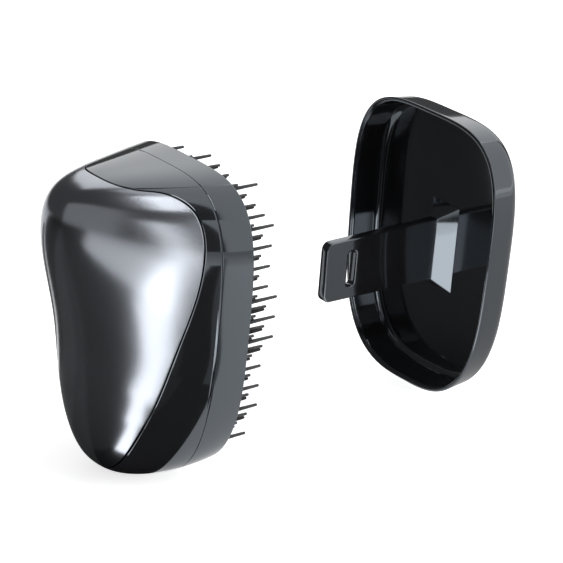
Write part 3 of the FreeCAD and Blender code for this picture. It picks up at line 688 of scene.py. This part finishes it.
class GROOMING_OT_lower_body(bpy.types.Operator):
    """Make the gloss black band from the parting line to the rim's lip"""
    bl_idname = "grooming.lower_body"
    bl_label = "Lower body"

    def execute(self, context):
        brush = context.scene.brush_sizes
        form = BrushForm(brush)
        run, drop = rounded(brush.seam_round)
        flush = np.zeros(len(SKIN_NEAR))
        half = brush.seam_gap / 2.0
        first = np.concatenate(([-SEAM_LAP, half, half], (half + run)[::-1], half + SKIN_NEAR))
        first_drop = np.concatenate(([SEAM_WALL, SEAM_WALL, SEAM_STEP], drop[::-1], flush))
        start = form.shifted(form.seam_level(), first)
        rim = np.full((1, COLUMNS), math.sqrt(1.0 - brush.rim_round / brush.depth))
        middle = start[-1] + (rim - start[-1]) * np.linspace(0.0, 1.0, BAND_ROWS)[1:, None]
        levels = np.concatenate([start, middle])
        skin = form.rows(levels, np.concatenate([first_drop, np.zeros(len(middle))]))
        outer, inner = quarter(EDGE_POINTS)[1:], quarter(LIP_POINTS)
        outer_round, lip_round, wall = brush.rim_round, brush.lip_round, brush.rim_wall
        inset = np.concatenate((
            outer_round * (1.0 - np.cos(outer)), wall - lip_round * (1.0 - np.sin(inner)),
            [wall, wall]))
        place = np.concatenate((
            -outer_round * (1.0 - np.sin(outer)), -lip_round * (1.0 - np.cos(inner)),
            [-LIP_STEP, -brush.rim_inside]))
        angle = form.angle(form.turn)[None, :]
        lip = flat_ring(brush, inset[:, None], place[:, None], angle)
        ledge = flat_ring(brush, LEDGE_INSET, LEDGE_PLACES, angle)
        rows = np.concatenate([skin, lip, ledge])
        body = closed_band(
            "lower_body", rows, finish_for("polished_black"), "brush")
        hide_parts("lower_shell")
        return {"FINISHED"}


def bristle_places(brush, tongue, bristles):
    """Rows that fan with the rim, long and short in turn, left out round the tongue."""
    half_width, half_length = brush.rim_width / 2.0, brush.rim_length / 2.0
    edge = half_width - bristles.inset
    gaps = round(2.0 * edge / bristles.row_pitch)
    steps = round(brush.rim_length / bristles.pitch)
    row, step = np.meshgrid(np.arange(gaps + 1), np.arange(steps + 1), indexing="ij")
    row, step = row.ravel(), step.ravel()
    z = (step - steps / 2.0 + (row % 2) / 2.0) * bristles.pitch
    y = edge * (2.0 * row / gaps - 1.0) * (1.0 + RIM_TAPER * z / half_length)
    z_share = z / (half_length - bristles.inset)
    power = np.where(z > 0.0, HEAD_POWER, TAIL_POWER)
    side = np.maximum(1.0 - np.abs(z_share) ** power, 0.0) ** (1.0 / power)
    inside = np.abs(y) <= edge * (1.0 + RIM_TAPER * z_share) * side + bristles.slack
    inside &= np.abs(z_share) < 1.0
    from_tongue = np.abs(z + tongue.drop)

    def clear_of(half_across, half_along):
        beside = np.abs(y) > half_across + bristles.room
        return beside | (from_tongue > half_along + bristles.room)

    slot = clear_of(tongue.thick / 2.0 + TONGUE_ROOM, tongue.root_width / 2.0 + TONGUE_ROOM)
    foot = clear_of(tongue.flare_width / 2.0, tongue.flare_length / 2.0)
    is_long = (step + row // 2) % 2 == 0
    place = np.stack([np.zeros_like(y), y, z], -1)
    return place[inside & is_long & foot], place[inside & ~is_long & slot]


def bristle_field(name, places, reach, bristles, finish):
    """Slim cones with round tips, one grid of rings by sides each, with the flats on the cone."""
    flats = 1.0 / math.cos(math.pi / BRISTLE_SIDES)
    root, tip = bristles.root / 2.0, bristles.tip / 2.0
    foot = -bristles.recess - BRISTLE_SINK
    along = np.concatenate(([foot], reach - tip + tip * np.sin(TIP_ANGLES)))[:, None]
    radius = flats * np.concatenate(([root], tip * np.cos(TIP_ANGLES)))[:, None]
    turn = np.arange(BRISTLE_SIDES) * 2.0 * math.pi / BRISTLE_SIDES
    rings = np.broadcast_arrays(along, radius * np.cos(turn), radius * np.sin(turn))
    poles = [[foot, 0.0, 0.0], [reach, 0.0, 0.0]]
    one = np.concatenate([np.stack(rings, -1).reshape(-1, 3), poles])
    quads = band_faces(len(along), BRISTLE_SIDES, False)
    fans = end_fans(len(along), BRISTLE_SIDES)
    start = np.arange(len(places))[:, None, None] * len(one)
    points = (places[:, None, :] + one[None, :, :]).reshape(-1, 3)
    return make_piece(
        name, points, (quads[None] + start).reshape(-1, 4), (fans[None] + start).reshape(-1, 3),
        finish_for(finish), "brush")


class GROOMING_OT_bristles(bpy.types.Operator):
    """Make the long and the short bristles on the pad"""
    bl_idname = "grooming.bristles"
    bl_label = "Bristles"

    def execute(self, context):
        scene = context.scene
        bristles = scene.bristle_sizes
        long_places, short_places = bristle_places(
            scene.brush_sizes, scene.tongue_sizes, bristles)
        long_field = bristle_field(
            "bristles_long", long_places, bristles.reach, bristles, "long_bristle_black")
        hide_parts("long_bristles")
        short_field = bristle_field(
            "bristles_short", short_places, bristles.reach_short, bristles,
            "short_bristle_black")
        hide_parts("short_bristles")
        return {"FINISHED"}


class GROOMING_OT_cover_tray(bpy.types.Operator):
    """Make the cover's shallow tray with its rounded lip, base edge and inner edge"""
    bl_idname = "grooming.cover_tray"
    bl_label = "Cover tray"

    def execute(self, context):
        brush, cover = context.scene.brush_sizes, context.scene.cover_sizes
        form = BrushForm(brush)
        lip, wall, draft = cover.lip_round, cover.wall, cover.draft
        straight = cover.depth - cover.base_round
        inner_straight = cover.depth - cover.floor - cover.floor_round
        around, lip_turn = quarter(TRAY_POINTS), quarter(LIP_POINTS)
        up = np.linspace(lip, straight, WALL_ROWS)[::-1]
        in_down = np.linspace(inner_straight, lip, WALL_ROWS)[::-1]
        base_turn = around[::-1][:-1]
        inset = np.concatenate((
            draft + cover.base_round * (1.0 - np.cos(base_turn)), draft * up / straight,
            lip * (1.0 - np.cos(lip_turn[1:])), wall - lip * (1.0 - np.sin(lip_turn)),
            wall + draft * (in_down / inner_straight),
            wall + draft + cover.floor_round * (1.0 - np.cos(around[1:]))))
        place = np.concatenate((
            straight + cover.base_round * np.sin(base_turn), up,
            lip * (1.0 - np.sin(lip_turn[1:])), lip * (1.0 - np.cos(lip_turn)),
            in_down,
            inner_straight + cover.floor_round * np.sin(around[1:])))
        angle = form.angle(form.turn)[None, :]
        walls = flat_ring(brush, inset[:, None], cover.gap + place[:, None], angle)
        is_x = np.array([True, False, False])
        base = np.where(is_x, 1.0, BASE_SHARES[:, None, None])
        rows = np.concatenate([walls[0] * base, walls, walls[-1] * base[::-1]])
        tray = capped_band(
            "cover_tray", rows, finish_for("polished_black"), "cover")
        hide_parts("cover_shell")
        return {"FINISHED"}


class GROOMING_OT_cover_tongue(bpy.types.Operator):
    """Make the cover's blade with its catch window, and the flared foot that it stands on"""
    bl_idname = "grooming.cover_tongue"
    bl_label = "Cover tongue"

    def execute(self, context):
        cover, tongue = context.scene.cover_sizes, context.scene.tongue_sizes
        self.blade(cover, tongue)
        self.foot(cover, tongue)
        return {"FINISHED"}

    def blade(self, cover, tongue):
        """A ring grid whose section goes over one face, through the window and back round."""
        edge = tongue.edge_round
        tip = cover.gap - tongue.reach
        root = cover.gap + tongue.flare_depth + BLADE_LAP
        middle = -tongue.drop
        half_tip, half_root = tongue.tip_width / 2.0, tongue.root_width / 2.0
        near = tip + tongue.window_inset
        far = near + tongue.window_width
        half_window = tongue.window_length / 2.0

        def outline(inset):
            corners = [
                (tip + inset, middle - half_tip + inset), (root, middle - half_root + inset),
                (root, middle + half_root - inset), (tip + inset, middle + half_tip - inset)]
            corner = max(tongue.corner - inset, SHARP_CORNER)
            return rounded_outline(
                corners, [corner, SHARP_CORNER, SHARP_CORNER, corner], BLADE_POINTS)

        def window(outset):
            low, high = middle - half_window - outset, middle + half_window + outset
            corners = [
                (near - outset, low), (far + outset, low),
                (far + outset, high), (near - outset, high)]
            return rounded_outline(corners, [tongue.window_corner + outset] * 4, BLADE_POINTS)

        half = tongue.thick / 2.0
        turn = quarter(EDGE_POINTS)
        insets = edge * (1.0 - np.cos(turn))
        heights = half - edge * (1.0 - np.sin(turn))
        margin = edge + FACE_MARGIN
        lines = [outline(inset) for inset in (*insets, margin)]
        lines += [window(outset) for outset in (margin, *insets[::-1])]
        places = np.concatenate((heights, [half, half], heights[::-1]))
        face = np.stack(lines)
        flat = np.concatenate([face, face[::-1]])
        y = np.broadcast_to(np.concatenate([-places, places[::-1]])[:, None], flat.shape[:2])
        rows = np.stack([flat[..., 0], y, flat[..., 1]], -1)
        blade = closed_band(
            "tongue_blade", rows, finish_for("polished_black"), "cover")
        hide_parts("cover_tongue")

    def foot(self, cover, tongue):
        """Rounded rectangles that widen from the blade to the floor in straight facets."""
        top = cover.gap + tongue.flare_depth
        bottom = cover.gap + cover.depth - cover.floor + FOOT_LAP
        rows = []
        for share in FOOT_SHARES:
            half_y = (tongue.thick + (tongue.flare_width - tongue.thick) * share) / 2.0
            half_z = (tongue.root_width + (tongue.flare_length - tongue.root_width) * share) / 2.0
            corners = [(-half_y, -half_z), (half_y, -half_z), (half_y, half_z), (-half_y, half_z)]
            ring = rounded_outline(corners, [tongue.edge_round] * 4, FOOT_POINTS)
            place = np.full(len(ring), top + (bottom - top) * share)
            rows.append(np.stack([place, ring[:, 0], ring[:, 1] - tongue.drop], -1))
        capped_band(
            "tongue_foot", np.stack(rows), finish_for("polished_black"), "cover")


class GROOMING_OT_inner_parts(bpy.types.Operator):
    """Give the pad and the parts inside the brush their finishes"""
    bl_idname = "grooming.inner_parts"
    bl_label = "Pad and inner parts"

    def execute(self, context):
        for node, kind in INNER_FINISHES.items():
            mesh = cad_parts[node].data
            mesh.materials.clear()
            mesh.materials.append(finish_for(kind))
        return {"FINISHED"}


def set_axes(made, right, up, back, place):
    """Writes an object's axes and place into its matrix."""
    matrix = np.eye(4)
    matrix[:3] = np.stack([right, up, back, place], -1)
    made.matrix_world = mathutils.Matrix(matrix.tolist())


def aim(made, place, target, roll_axis):
    """Sets an object at a place, looking along its -Z at a target, its X square to an axis."""
    back = (place - target) / np.linalg.norm(place - target)
    right = np.cross(roll_axis, back)
    right /= np.linalg.norm(right)
    set_axes(made, right, np.cross(back, right), back, place)


def area_light(name, brightness, width, height, place, target, roll_axis):
    """A soft rectangular light, in millimetres from the brush's own origin, out of sight."""
    lamp = bpy.data.lights.new(name, "AREA")
    lamp.shape = "RECTANGLE"
    lamp.size, lamp.size_y = width * MM, height * MM
    lamp.energy = brightness * math.pi * lamp.size * lamp.size_y
    made = bpy.data.objects.new(name, lamp)
    bpy.context.scene.collection.objects.link(made)
    aim(made, ORIGIN + np.asarray(place) * MM, ORIGIN + np.asarray(target) * MM, roll_axis)
    made.visible_camera = False


def stage_sheet(name, low, high, height, finish, turn=0.0):
    """A flat sheet over the table, its corners turned about the brush's own origin."""
    share = np.linspace(0.0, 1.0, SHEET_POINTS)
    along = low[0] + (high[0] - low[0]) * share[:, None]
    across = low[1] + (high[1] - low[1]) * share[None, :]
    x = along * math.cos(turn) - across * math.sin(turn)
    y = along * math.sin(turn) + across * math.cos(turn)
    points = np.stack(np.broadcast_arrays(x, y, height), -1).reshape(-1, 3) * MM
    points += np.array([ORIGIN[0], ORIGIN[1], 0.0])
    index = np.arange(SHEET_POINTS ** 2).reshape(SHEET_POINTS, SHEET_POINTS)
    corners = [index[:-1, :-1], index[1:, :-1], index[1:, 1:], index[:-1, 1:]]
    quads = np.stack(corners, -1).reshape(-1, 4)
    mesh = bpy.data.meshes.new(name)
    mesh.from_pydata(points.tolist(), [], quads.tolist())
    mesh.materials.append(finish)
    made = bpy.data.objects.new(name, mesh)
    bpy.context.scene.collection.objects.link(made)
    return made


class GROOMING_OT_stage(bpy.types.Operator):
    """Set the pale floor, the cards, the room, the soft lights and the camera"""
    bl_idname = "grooming.stage"
    bl_label = "Stage"

    def execute(self, context):
        values = context.scene.stage_values
        self.floor(values)
        self.cards()
        self.room(context.scene, values)
        self.lights(values)
        self.camera(context.scene, values)
        context.scene.view_settings.view_transform = "Standard"
        return {"FINISHED"}

    def floor(self, values):
        """A wide pale sheet under the object, plain white to the camera and in reflections."""
        finish = matt_paper("pale_floor", FLOOR_SHADE)
        tree = finish.node_tree
        link = tree.links.new
        paper = tree.nodes["Principled BSDF"]
        glow = tree.nodes.new("ShaderNodeEmission")
        path = tree.nodes.new("ShaderNodeLightPath")
        seen = tree.nodes.new("ShaderNodeMath")
        seen.operation = "MAXIMUM"
        shown = tree.nodes.new("ShaderNodeMath")
        shown.operation = "MAXIMUM"
        level = tree.nodes.new("ShaderNodeMath")
        level.operation = "MULTIPLY"
        level.inputs[1].default_value = values.floor_glow
        both = tree.nodes.new("ShaderNodeAddShader")
        link(path.outputs["Is Camera Ray"], seen.inputs[0])
        link(path.outputs["Is Glossy Ray"], seen.inputs[1])
        link(seen.outputs[0], shown.inputs[0])
        link(path.outputs["Is Transmission Ray"], shown.inputs[1])
        link(shown.outputs[0], level.inputs[0])
        link(level.outputs[0], glow.inputs["Strength"])
        link(paper.outputs[0], both.inputs[0])
        link(glow.outputs[0], both.inputs[1])
        link(both.outputs[0], tree.nodes["Material Output"].inputs["Surface"])
        stage_sheet(
            "pale_floor", (-FLOOR_HALF, -FLOOR_HALF), (FLOOR_HALF, FLOOR_HALF),
            FLOOR_HEIGHT, finish)

    def cards(self):
        """Grey and black cards on the table round the object, which only its gloss picks up."""
        for name, (low, high, turn, shade) in CARDS.items():
            card = stage_sheet(name, low, high, CARD_HEIGHT, matt_paper(name, shade), turn)
            card.visible_camera = card.visible_diffuse = False
            card.visible_shadow = card.visible_transmission = False

    def room(self, scene, values):
        """A plain grey room."""
        world = bpy.data.worlds.new("plain_room")
        scene.world = world
        world.use_nodes = True
        grey = (values.room, values.room, values.room, 1.0)
        world.node_tree.nodes["Background"].inputs["Color"].default_value = grey

    def lights(self, values):
        """Softboxes and panels round the object, strips that draw streaks, and a foot light."""
        for name, brightness, width, height, place, target, roll_axis in PANELS:
            area_light(
                name, getattr(values, brightness), width, height, place, target, roll_axis)

    def camera(self, scene, values):
        """The photograph's view: azimuth and elevation round the brush, then a small roll."""
        azimuth, elevation, roll = values.azimuth, values.elevation, values.roll
        right = np.array([math.cos(azimuth), math.sin(azimuth), 0.0])
        level = np.array([math.sin(azimuth), -math.cos(azimuth), 0.0])
        back = level * math.cos(elevation) + np.array(UPRIGHT) * math.sin(elevation)
        up = np.cross(back, right)
        turned = right * math.cos(roll) + up * math.sin(roll)
        risen = -right * math.sin(roll) + up * math.cos(roll)
        lens = bpy.data.cameras.new("camera")
        lens.lens, lens.sensor_width = values.lens, SENSOR_WIDTH
        lens.clip_start = NEAREST_SEEN
        made = bpy.data.objects.new("camera", lens)
        scene.collection.objects.link(made)
        aside = turned * values.aim_right + risen * values.aim_up
        set_axes(made, turned, risen, back, ORIGIN + back * values.distance + aside)
        scene.camera = made


OPERATORS = (
    GROOMING_OT_metal_back, GROOMING_OT_upper_body, GROOMING_OT_lower_body,
    GROOMING_OT_bristles, GROOMING_OT_cover_tray, GROOMING_OT_cover_tongue,
    GROOMING_OT_inner_parts, GROOMING_OT_stage,
)


class GROOMING_PT_pieces(bpy.types.Panel):
    """Lists the operators that make the brush"""
    bl_label = "Grooming brush"
    bl_idname = "GROOMING_PT_pieces"
    bl_space_type = "VIEW_3D"
    bl_region_type = "UI"
    bl_category = "Grooming brush"

    def draw(self, context):
        for operator in OPERATORS:
            self.layout.operator(operator.bl_idname)


GROUPS = {
    "brush_sizes": BrushSizes, "bristle_sizes": BristleSizes, "cover_sizes": CoverSizes,
    "tongue_sizes": TongueSizes, "brush_colours": FinishColours, "stage_values": StageValues,
}


def register():
    """Registers the classes and hangs the groups of values on the scene."""
    for group in GROUPS.values():
        bpy.utils.register_class(group)
    for operator in OPERATORS:
        bpy.utils.register_class(operator)
    bpy.utils.register_class(GROOMING_PT_pieces)
    for name, group in GROUPS.items():
        setattr(bpy.types.Scene, name, bpy.props.PointerProperty(type=group))


def unregister():
    """Takes all of that away again, last first."""
    for name in GROUPS:
        delattr(bpy.types.Scene, name)
    bpy.utils.unregister_class(GROOMING_PT_pieces)
    for operator in reversed(OPERATORS):
        bpy.utils.unregister_class(operator)
    for group in reversed(GROUPS.values()):
        bpy.utils.unregister_class(group)


def main():
    """Makes every piece and the stage."""
    register()
    bpy.ops.grooming.metal_back()
    bpy.ops.grooming.upper_body()
    bpy.ops.grooming.lower_body()
    bpy.ops.grooming.bristles()
    bpy.ops.grooming.cover_tray()
    bpy.ops.grooming.cover_tongue()
    bpy.ops.grooming.inner_parts()
    bpy.ops.grooming.stage()


if __name__ == "__main__":
    main()
